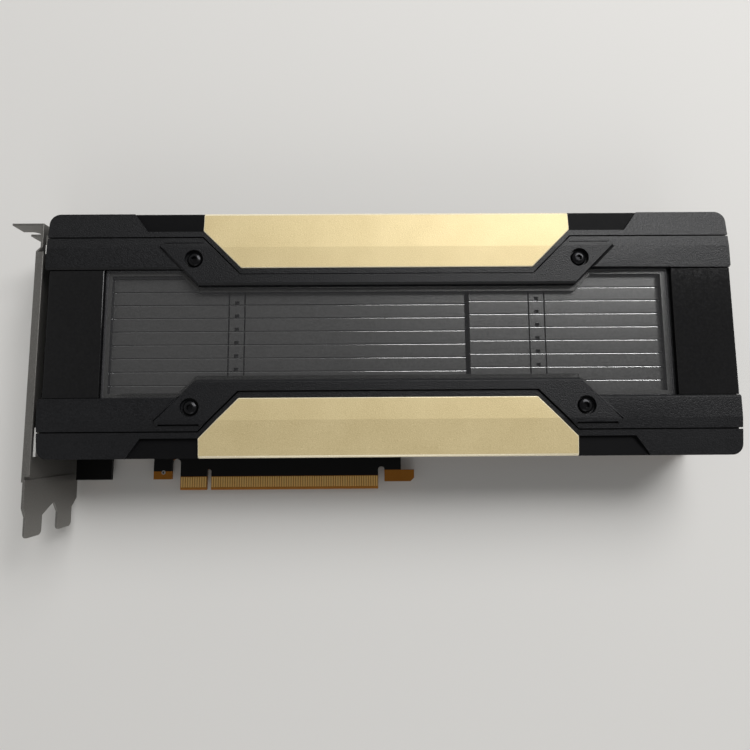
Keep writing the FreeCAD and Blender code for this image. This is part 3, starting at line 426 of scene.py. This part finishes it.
def cut_slits_and_notch(channel, band, low, high):
    """Cut the two slits across the channel's top, and the notch for its neighbour's tongue between them."""
    middle = band + band_width / 2
    bpy.ops.object.mode_set(mode="EDIT")
    bpy.ops.mesh.select_mode(type="FACE")
    for cut in (band - slit_width / 2, band + slit_width / 2, middle - notch_half, middle + notch_half,
                band + band_width - slit_width / 2, band + band_width + slit_width / 2):
        bpy.ops.mesh.select_all(action="SELECT")
        bpy.ops.mesh.bisect(plane_co=(cut, 0, 0), plane_no=(1, 0, 0))
    bpy.ops.mesh.select_all(action="SELECT")
    bpy.ops.mesh.bisect(plane_co=(0, low.y + notch_depth, 0), plane_no=(0, 1, 0))
    bpy.ops.object.mode_set(mode="OBJECT")

    def is_cut_away(face):
        x, y, z = face.center
        on_top = face.normal.z > 0.5 and z > high.z - fin_bend
        in_slit = min(abs(x - band), abs(x - band - band_width)) < slit_width / 2
        in_notch = abs(x - middle) < notch_half and y < low.y + notch_depth
        return on_top and (in_slit or in_notch)

    select_faces(channel, is_cut_away)
    bpy.ops.mesh.delete(type="FACE")
    bpy.ops.object.mode_set(mode="OBJECT")


def give_sheet_thickness(channel):
    """Give the folded sheet its thickness inwards, and keep its flat faces flat beside the bends."""
    wall = channel.modifiers.new("sheet", "SOLIDIFY")
    wall.thickness = fin_wall
    wall.offset = -1
    bpy.ops.object.modifier_apply(modifier="sheet")
    bpy.ops.object.shade_smooth_by_angle(angle=bend_angle)
    even_out(channel)


def add_lock_tongue(channel, band, low, high):
    """Set a small three-cornered tongue below the notch and join it to the channel."""
    bpy.ops.mesh.primitive_cylinder_add(
        vertices=3, radius=tongue_radius, depth=fin_wall, rotation=(0, 0, math.pi))
    tongue = bpy.context.object
    settle(tongue)
    for corner in tongue.data.vertices:
        corner.co.x += band + band_width / 2
        corner.co.y += low.y + tongue_reach
        corner.co.z += high.z - tongue_drop
    # Painted shade: the tongue takes the darker grey.
    tongue.data.materials.append(lock_painted_shade)
    channel.select_set(True)
    bpy.context.view_layer.objects.active = channel
    bpy.ops.object.join()


for node, name, band in (
        ("fin_stack_front", "front_fins", front_band),
        ("fin_stack_rear", "rear_fins", rear_band)):
    low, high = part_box(node)
    fins = fold_channel(name, low, high)
    cut_slits_and_notch(fins, band, low, high)
    fins.data.materials.append(fin_grey)
    # Painted highlight: the bend faces that look towards the far side take the lighter grey.
    coat_faces(fins, fin_painted_highlight, lambda face: 0.2 < face.normal.y < 0.9)
    give_sheet_thickness(fins)
    add_lock_tongue(fins, band, low, high)
    row = fins.modifiers.new("row", "ARRAY")
    row.use_relative_offset = False
    row.use_constant_offset = True
    row.constant_offset_displace = (0, fin_pitch, 0)
    row.count = round((high.y - low.y + fin_seam) / fin_pitch)
    bpy.ops.object.modifier_apply(modifier="row")
    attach(fins, "root")
    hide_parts(node)

# ---- Shroud frame: one aluminium die casting with a black textured coat, its edges slightly rounded.
# The floors of its pockets beside the gold plates are coloured darker than the coat, as painted shade in the
# recesses, and its ledge under the window is left grey.
# The pocket floors get a darker, duller black than the coat: painted shade in the recesses.
pocket_painted_shade = grainy(
    "pocket_painted_shade", (0.002, 0.002, 0.0025), (0.004, 0.004, 0.0045), grain=0.6 * MM,
    rough=(0.55, 0.65), bump=0.05, specular=0.1)
window_low, window_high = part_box("window")
ledge_level, pocket_level = window_low.z, 32.0 * MM


def lies_at(face, level):
    """Tell whether the face is flat, looks up and lies at the level."""
    return face.normal.z > 0.99 and abs(face.center.z - level) < hair


def is_under_window(face):
    """Tell whether the face is a part of the ledge that the window covers."""
    x, y, z = face.center
    covered = window_low.x < x < window_high.x and window_low.y < y < window_high.y
    return covered and lies_at(face, ledge_level)


shroud = finished_copy("shroud_frame", "shroud_casting", cast_black, edge=0.30 * MM)
for place, side in (
        (window_low, (1, 0, 0)), (window_high, (1, 0, 0)),
        (window_low, (0, 1, 0)), (window_high, (0, 1, 0))):
    select_faces(shroud, lambda face: lies_at(face, ledge_level))
    bpy.ops.mesh.bisect(plane_co=place, plane_no=side)
    bpy.ops.object.mode_set(mode="OBJECT")
# Painted shade: the pocket floors take the darker black.
coat_faces(shroud, pocket_painted_shade, lambda face: lies_at(face, pocket_level))
coat_faces(shroud, fin_grey, is_under_window)

# ---- Clamp rails: cast and coated like the shroud, screwed down along both sides of the window.
# Their edges over the window are chamfered. A narrow groove runs along the outer edge of each screw pad.
screws_low, screws_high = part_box("rail_screws")
middle = (screws_low + screws_high) / 2
plate_play, inner_chamfer = 0.15 * MM, 0.65 * MM
inner_middle = middle.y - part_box("lower_rail")[1].y
inner_end = (window_high.y - window_low.y) / 2 + plate_play
slant_reach, slant_end = 53.8 * MM, 33.75 * MM
top_from, groove_foot, groove_over = 32.6 * MM, 32.6 * MM, 1.0 * MM
groove_start, groove_end, groove_line, groove_width = 70.0 * MM, 85.2 * MM, 34.75 * MM, 0.60 * MM


def is_inner_edge(ends):
    """Tell whether an edge of a rail's top borders the window: on its middle, on a slant or on an end."""
    near = 2 * hair
    across = [(abs(end.x - middle.x), abs(end.y - middle.y)) for end in ends]
    on_top = all(end.z > top_from for end in ends)
    level = abs(ends[0].z - ends[1].z) < near
    on_middle = all(abs(y - inner_middle) < near for x, y in across)
    on_slant = all(abs(x - y - slant_reach) < near and y < slant_end for x, y in across)
    on_end = all(abs(y - inner_end) < near and x - y > slant_reach - near for x, y in across)
    return on_top and level and (on_middle or on_slant or on_end)


def chamfer_inner_edges(rail):
    """Chamfer the rail's top edges over the window."""
    select_edges(rail, is_inner_edge)
    bpy.ops.mesh.bevel(offset=inner_chamfer, segments=1, affect="EDGES", clamp_overlap=False)
    bpy.ops.object.mode_set(mode="OBJECT")


for side, sign in (("upper", 1), ("lower", -1)):
    rail = finished_copy(
        f"{side}_rail", f"{side}_clamp_rail", cast_black, edge=0.20 * MM, trim=chamfer_inner_edges)
    rail_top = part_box(f"{side}_rail")[1].z
    groove_top = rail_top + groove_over
    for end in (-1, 1):
        bpy.ops.object.select_all(action="DESELECT")
        bpy.ops.mesh.primitive_cube_add(
            size=1,
            location=(middle.x + end * (groove_start + groove_end) / 2,
                      middle.y + sign * groove_line, (groove_foot + groove_top) / 2),
            scale=(groove_end - groove_start, groove_width, groove_top - groove_foot))
        cut_with(rail, bpy.context.object)
    for point in rail.data.vertices:
        point.co.z = min(point.co.z, rail_top)

# ---- Gold accent plates: thin aluminium with a satin gold coat, dropped into the shroud's pockets.
# Their rounded top edges are coloured a paler gold than the coat, as a painted highlight.
satin_gold = grainy(
    "satin_gold", (0.58, 0.465, 0.240), (0.76, 0.635, 0.365), grain=0.32 * MM,
    rough=(0.42, 0.58), bump=0.8, metallic=0.35, specular=0.35)
# The rounded edges get a paler, glossier gold than the coat: a painted highlight.
painted_highlight_gold = grainy(
    "gold_edge_painted_highlight", (0.86, 0.76, 0.52), (0.95, 0.87, 0.66), grain=0.5 * MM,
    rough=(0.18, 0.28), bump=0.02, metallic=0.25)
for side in ("upper", "lower"):
    plate = finished_copy(f"{side}_accent_plate", f"{side}_gold_plate", satin_gold, edge=0.34 * MM)
    # Painted highlight: the faces of the rounded edges take the paler gold.
    coat_faces(plate, painted_highlight_gold, lambda face: 0.2 < face.normal.z < 0.95)

# ---- Window: a clear plastic sheet, cut to the rails' outline, with broken edges coloured darker and less clear than the sheet as painted shade.
# It lies on the shroud's ledge between the rails.
clear_sheet = grainy(
    "clear_sheet", (0.09, 0.09, 0.095), (0.12, 0.12, 0.125), grain=2.0 * MM,
    rough=(0.04, 0.09), bump=0.01)
clear_shader = clear_sheet.node_tree.nodes["Principled BSDF"]
clear_shader.inputs["Alpha"].default_value = 0.12
clear_shader.inputs["Coat Weight"].default_value = 0.4
# The window's rounded edges get a darker, less clear colour than the sheet: painted shade along the edges.
window_edge_painted_shade = grainy(
    "window_edge_painted_shade", (0.05, 0.05, 0.053), (0.09, 0.09, 0.095), grain=1.0 * MM,
    rough=(0.12, 0.22), bump=0.02)
window_edge_painted_shade.node_tree.nodes["Principled BSDF"].inputs["Alpha"].default_value = 0.55
window = finished_copy("window", "clear_window", clear_sheet, edge=0.30 * MM)
# Painted shade: the edge faces take the darker, less clear colour.
coat_faces(window, window_edge_painted_shade, lambda face: abs(face.normal.z) <= 0.98)

# ---- End panels: glossy black plastic strips that close the shroud's top at both ends of the window.
# Each is moulded flat with a polished face and lies on the shroud's deck.
gloss_black = grainy(
    "gloss_black", (0.003, 0.003, 0.0035), (0.007, 0.007, 0.0075), grain=0.8 * MM,
    rough=(0.05, 0.10), bump=0.01)
for end in ("front", "rear"):
    panel = finished_copy(f"{end}_panel", f"{end}_end_panel", gloss_black, edge=0.20 * MM)

# ---- Rail screws: blackened steel button heads with hexagon sockets, down in the rails' counterbores.
# Each head is turned to a low dome, and its socket is punched.
black_oxide = grainy(
    "black_oxide", (0.008, 0.008, 0.009), (0.018, 0.018, 0.020), grain=0.2 * MM,
    rough=(0.16, 0.28), bump=0.06, metallic=0.7)
screw_reach_x, screw_reach_y = 73.65 * MM, 28.3 * MM
shank_radius, seat_radius, head_radius, crown_radius = 1.40 * MM, 2.75 * MM, 2.85 * MM, 1.40 * MM
seat_height, rim_foot, rim_top, head_height = 0.0005 * MM, 0.12 * MM, 0.45 * MM, 1.50 * MM
socket_size, socket_floor, punch_height = 2.45 * MM, 0.45 * MM, 1.55 * MM


def turned_head(name, rings, sides):
    """A screw head built up ring by ring from its foot. Each ring is a radius and a height above the foot."""
    bpy.ops.object.select_all(action="DESELECT")
    bpy.ops.mesh.primitive_circle_add(
        vertices=sides, radius=rings[0][0], fill_type="NGON", location=(0, 0, rings[0][1]))
    head = bpy.context.object
    head.name = name
    settle(head)
    bpy.ops.object.mode_set(mode="EDIT")
    bpy.ops.mesh.select_mode(type="FACE")
    bpy.ops.mesh.select_all(action="SELECT")
    for (radius, height), (next_radius, next_height) in zip(rings, rings[1:]):
        bpy.ops.mesh.extrude_region_move(
            TRANSFORM_OT_translate={"value": (0, 0, next_height - height)})
        factor = next_radius / radius
        bpy.ops.transform.resize(value=(factor, factor, 1), center_override=(0, 0, next_height))
    bpy.ops.mesh.select_all(action="SELECT")
    bpy.ops.mesh.normals_make_consistent(inside=False)
    bpy.ops.object.mode_set(mode="OBJECT")
    return head


def punch_socket(head, size, floor_height, top_height):
    """Cut a hexagon socket, size across its corners, from above the head down to the floor height."""
    bpy.ops.mesh.primitive_cylinder_add(
        vertices=6, radius=size / 2, depth=2 * (top_height - floor_height), location=(0, 0, top_height))
    cut_with(head, bpy.context.object)
    pick(head)
    bpy.ops.object.shade_smooth_by_angle(angle=smooth_angle)


def set_in_place(head, name, places, height, flip):
    """Copy the head to every place, its foot at the height, and join the copies under one name."""
    copies = []
    for x, y in places:
        copy = head.copy()
        copy.data = head.data.copy()
        bpy.context.scene.collection.objects.link(copy)
        copy.location = (x, y, height)
        copy.rotation_euler = (math.pi if flip else 0, 0, 0)
        copies.append(copy)
    bpy.data.objects.remove(head)
    bpy.ops.object.select_all(action="DESELECT")
    for copy in copies:
        copy.select_set(True)
    bpy.context.view_layer.objects.active = copies[0]
    bpy.ops.object.join()
    copies[0].name = name
    settle(copies[0])
    return copies[0]


head_foot = screws_high.z - head_height
rail_screw_places = [
    (middle.x + end * screw_reach_x, middle.y + side * screw_reach_y)
    for end in (-1, 1) for side in (-1, 1)]
dome = [(2.62 * MM, 0.88 * MM), (2.18 * MM, 1.22 * MM), (1.60 * MM, 1.44 * MM)]
button = turned_head("button_head", [
    (shank_radius, screws_low.z - head_foot), (shank_radius, 0), (seat_radius, seat_height),
    (head_radius, rim_foot), (head_radius, rim_top), *dome, (crown_radius, head_height)], sides=48)
punch_socket(button, socket_size, socket_floor, punch_height)
button.data.materials.append(black_oxide)
rail_screws = set_in_place(button, "rail_button_screws", rail_screw_places, head_foot, flip=False)
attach(rail_screws, "root")
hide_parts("rail_screws")

# ---- Back plate: a pressed sheet over the board's back, coated satin black.
# Ten round recesses along its long edges and four round the processor take its small screws.
satin_black = grainy(
    "satin_black", (0.010, 0.010, 0.011), (0.026, 0.026, 0.028), grain=0.3 * MM,
    rough=(0.42, 0.58), bump=0.2, specular=0.4)
recess_radius, recess_depth = 2.6 * MM, 0.70 * MM
edge_screw_pitch, edge_screw_reach, package_screw_reach = 58.0 * MM, 42.5 * MM, 32.0 * MM
package_low, package_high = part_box("package_substrate")
package_x = (package_low.x + package_high.x) / 2
back_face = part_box("back_plate")[0].z
back_screw_places = [
    (middle.x + step * edge_screw_pitch, middle.y + side * edge_screw_reach)
    for step in (-2, -1, 0, 1, 2) for side in (-1, 1)]
back_screw_places += [
    (package_x + end * package_screw_reach, middle.y + side * package_screw_reach)
    for end in (-1, 1) for side in (-1, 1)]
back_plate = finished_copy("back_plate", "back_cover", satin_black, edge=0.25 * MM)
drill = turned_head(
    "recess_drill", [(recess_radius, -recess_depth), (recess_radius, recess_depth)], sides=48)
cut_with(back_plate, set_in_place(drill, "recess_drills", back_screw_places, back_face, flip=False))

# ---- Back screws: low flat heads of blackened steel with hexagon sockets.
# They hold the back plate and stand in its recesses, below its face.
low_radius, low_foot_radius, low_crown_radius = 2.28 * MM, 2.20 * MM, 2.14 * MM
low_rim_foot, low_rim_top, low_height = 0.08 * MM, 0.40 * MM, 0.58 * MM
low_socket_size, low_socket_floor, low_punch_height = 2.3 * MM, 0.15 * MM, 0.62 * MM
low_head = turned_head("low_head", [
    (low_foot_radius, 0), (low_radius, low_rim_foot), (low_radius, low_rim_top),
    (low_crown_radius, low_height)], sides=40)
punch_socket(low_head, low_socket_size, low_socket_floor, low_punch_height)
low_head.data.materials.append(black_oxide)
back_screws = set_in_place(
    low_head, "back_cover_screws", back_screw_places, back_face + recess_depth, flip=True)
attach(back_screws, "root")

# ---- I/O bracket: one plated steel sheet, punched with vents and notches and folded, with two prongs below.
# Its bends are slightly rounded, and two screws hold its tabs to the board.
plated_steel = grainy(
    "plated_steel", (0.17, 0.164, 0.153), (0.25, 0.243, 0.23), grain=0.5 * MM,
    rough=(0.35, 0.5), bump=0.1, metallic=0.75)
bracket = finished_copy("bracket", "io_bracket", plated_steel, edge=0.12 * MM)
screws = finished_copy("bracket_screws", "bracket_tab_screws", plated_steel, edge=0.2 * MM)

# ---- Power connector: a black moulded housing, open towards the rear end, with eight gold-plated pins.
# It stands on the board, with one pin in each of its cells.
moulded_black = grainy(
    "moulded_black", (0.010, 0.010, 0.010), (0.022, 0.022, 0.022), grain=0.3 * MM,
    rough=(0.4, 0.55), bump=0.15)
housing = finished_copy("power_connector", "power_socket_housing", moulded_black, edge=0.15 * MM)
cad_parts["power_pins"].data.materials[0] = plated_gold
